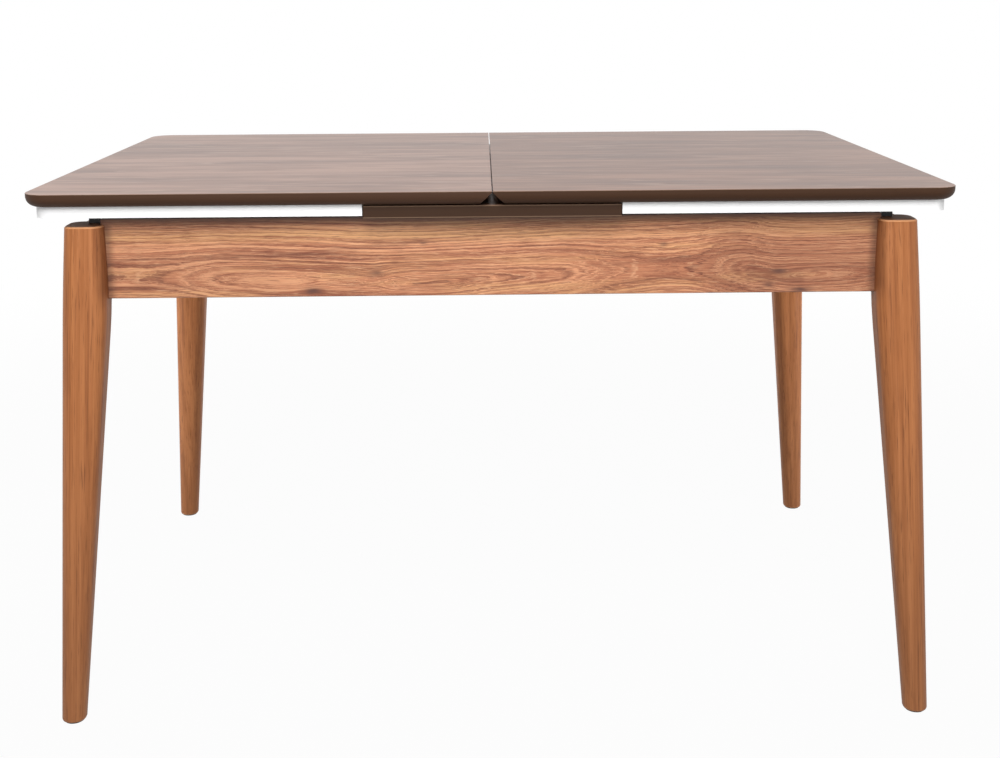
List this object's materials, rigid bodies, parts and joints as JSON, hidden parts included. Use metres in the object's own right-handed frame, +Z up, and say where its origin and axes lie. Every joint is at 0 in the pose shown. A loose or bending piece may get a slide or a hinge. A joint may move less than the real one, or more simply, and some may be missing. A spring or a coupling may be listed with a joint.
{
  "type": "extending dining table",
  "caption": "Walnut-look extending dining table with splayed tapered legs, a split top on geared slides and a loose leaf stored between the halves.",
  "frame": {"origin": "on the floor, under the middle of the table", "axes": "+X along the table's length to the right half, +Y to the back, +Z up"},
  "size_m": [1.3, 0.8376, 0.78],
  "materials": {
    "top_laminate": "satin walnut laminate with a long streaky grain",
    "white_board": "white melamine-faced board",
    "leg_wood": "satin walnut-stained hardwood, straight grain",
    "apron_wood": "satin walnut decor with a cathedral grain",
    "inner_wood": "plain sealed beech",
    "zinc_steel": "zinc-plated sheet and fasteners",
    "black_plastic": "moulded black plastic",
    "nylon": "natural nylon",
    "felt": "self-adhesive felt",
    "glide_plastic": "moulded brown plastic"
  },
  "bodies": {
    "frame": {"front_left_leg": "leg_wood", "front_left_glide": "glide_plastic", "front_left_bracket": "zinc_steel", "front_right_leg": "leg_wood", "front_right_glide": "glide_plastic", "front_right_bracket": "zinc_steel", "back_left_leg": "leg_wood", "back_left_glide": "glide_plastic", "back_left_bracket": "zinc_steel", "back_right_leg": "leg_wood", "back_right_glide": "glide_plastic", "back_right_bracket": "zinc_steel", "front_apron": "apron_wood", "front_ledger": "inner_wood", "front_slide_channel": "zinc_steel", "front_slide_guides": "black_plastic", "back_apron": "apron_wood", "back_ledger": "inner_wood", "back_slide_channel": "zinc_steel", "back_slide_guides": "black_plastic", "left_apron": "apron_wood", "left_stretcher": "inner_wood", "right_apron": "apron_wood", "right_stretcher": "inner_wood", "gear_board": "inner_wood", "gear_axle": "zinc_steel", "axle_clip": "zinc_steel", "leaf_felts": "felt", "hanger_bolts": "zinc_steel", "flange_nuts": "zinc_steel"},
    "left_half": {"left_top": "top_laminate", "left_spacer": "white_board", "left_front_runner": "zinc_steel", "left_back_runner": "zinc_steel", "left_shoes": "nylon", "left_rack": "nylon", "left_rack_block": "inner_wood", "left_leaf_plates": "zinc_steel"},
    "right_half": {"right_top": "top_laminate", "right_spacer": "white_board", "right_front_runner": "zinc_steel", "right_back_runner": "zinc_steel", "right_shoes": "nylon", "right_rack": "nylon", "right_rack_block": "inner_wood", "right_leaf_plates": "zinc_steel"},
    "pinion": {"pinion": "nylon"},
    "leaf": {"leaf": "top_laminate"}
  },
  "joints": [
    {"name": "left_half_slide", "type": "slide", "parent": "frame", "child": "left_half", "axis": [-1, 0, 0], "range_m": [0, 0.215]},
    {"name": "right_half_slide", "type": "slide", "parent": "frame", "child": "right_half", "axis": [1, 0, 0], "range_m": [0, 0.215]},
    {"name": "pinion_turn", "type": "hinge", "parent": "frame", "child": "pinion", "pos_m": [0, 0, 0.7205], "axis": [0, 0, 1], "range_deg": [0, 617]},
    {"name": "leaf_pull", "type": "slide", "parent": "frame", "child": "leaf", "axis": [0, -1, 0], "range_m": [0, 0.3]}
  ],
  "couplings": [
    {"joint": "right_half_slide", "follows": "left_half_slide", "ratio": 1},
    {"joint": "pinion_turn", "follows": "left_half_slide", "rad_per_m": 50}
  ]
}
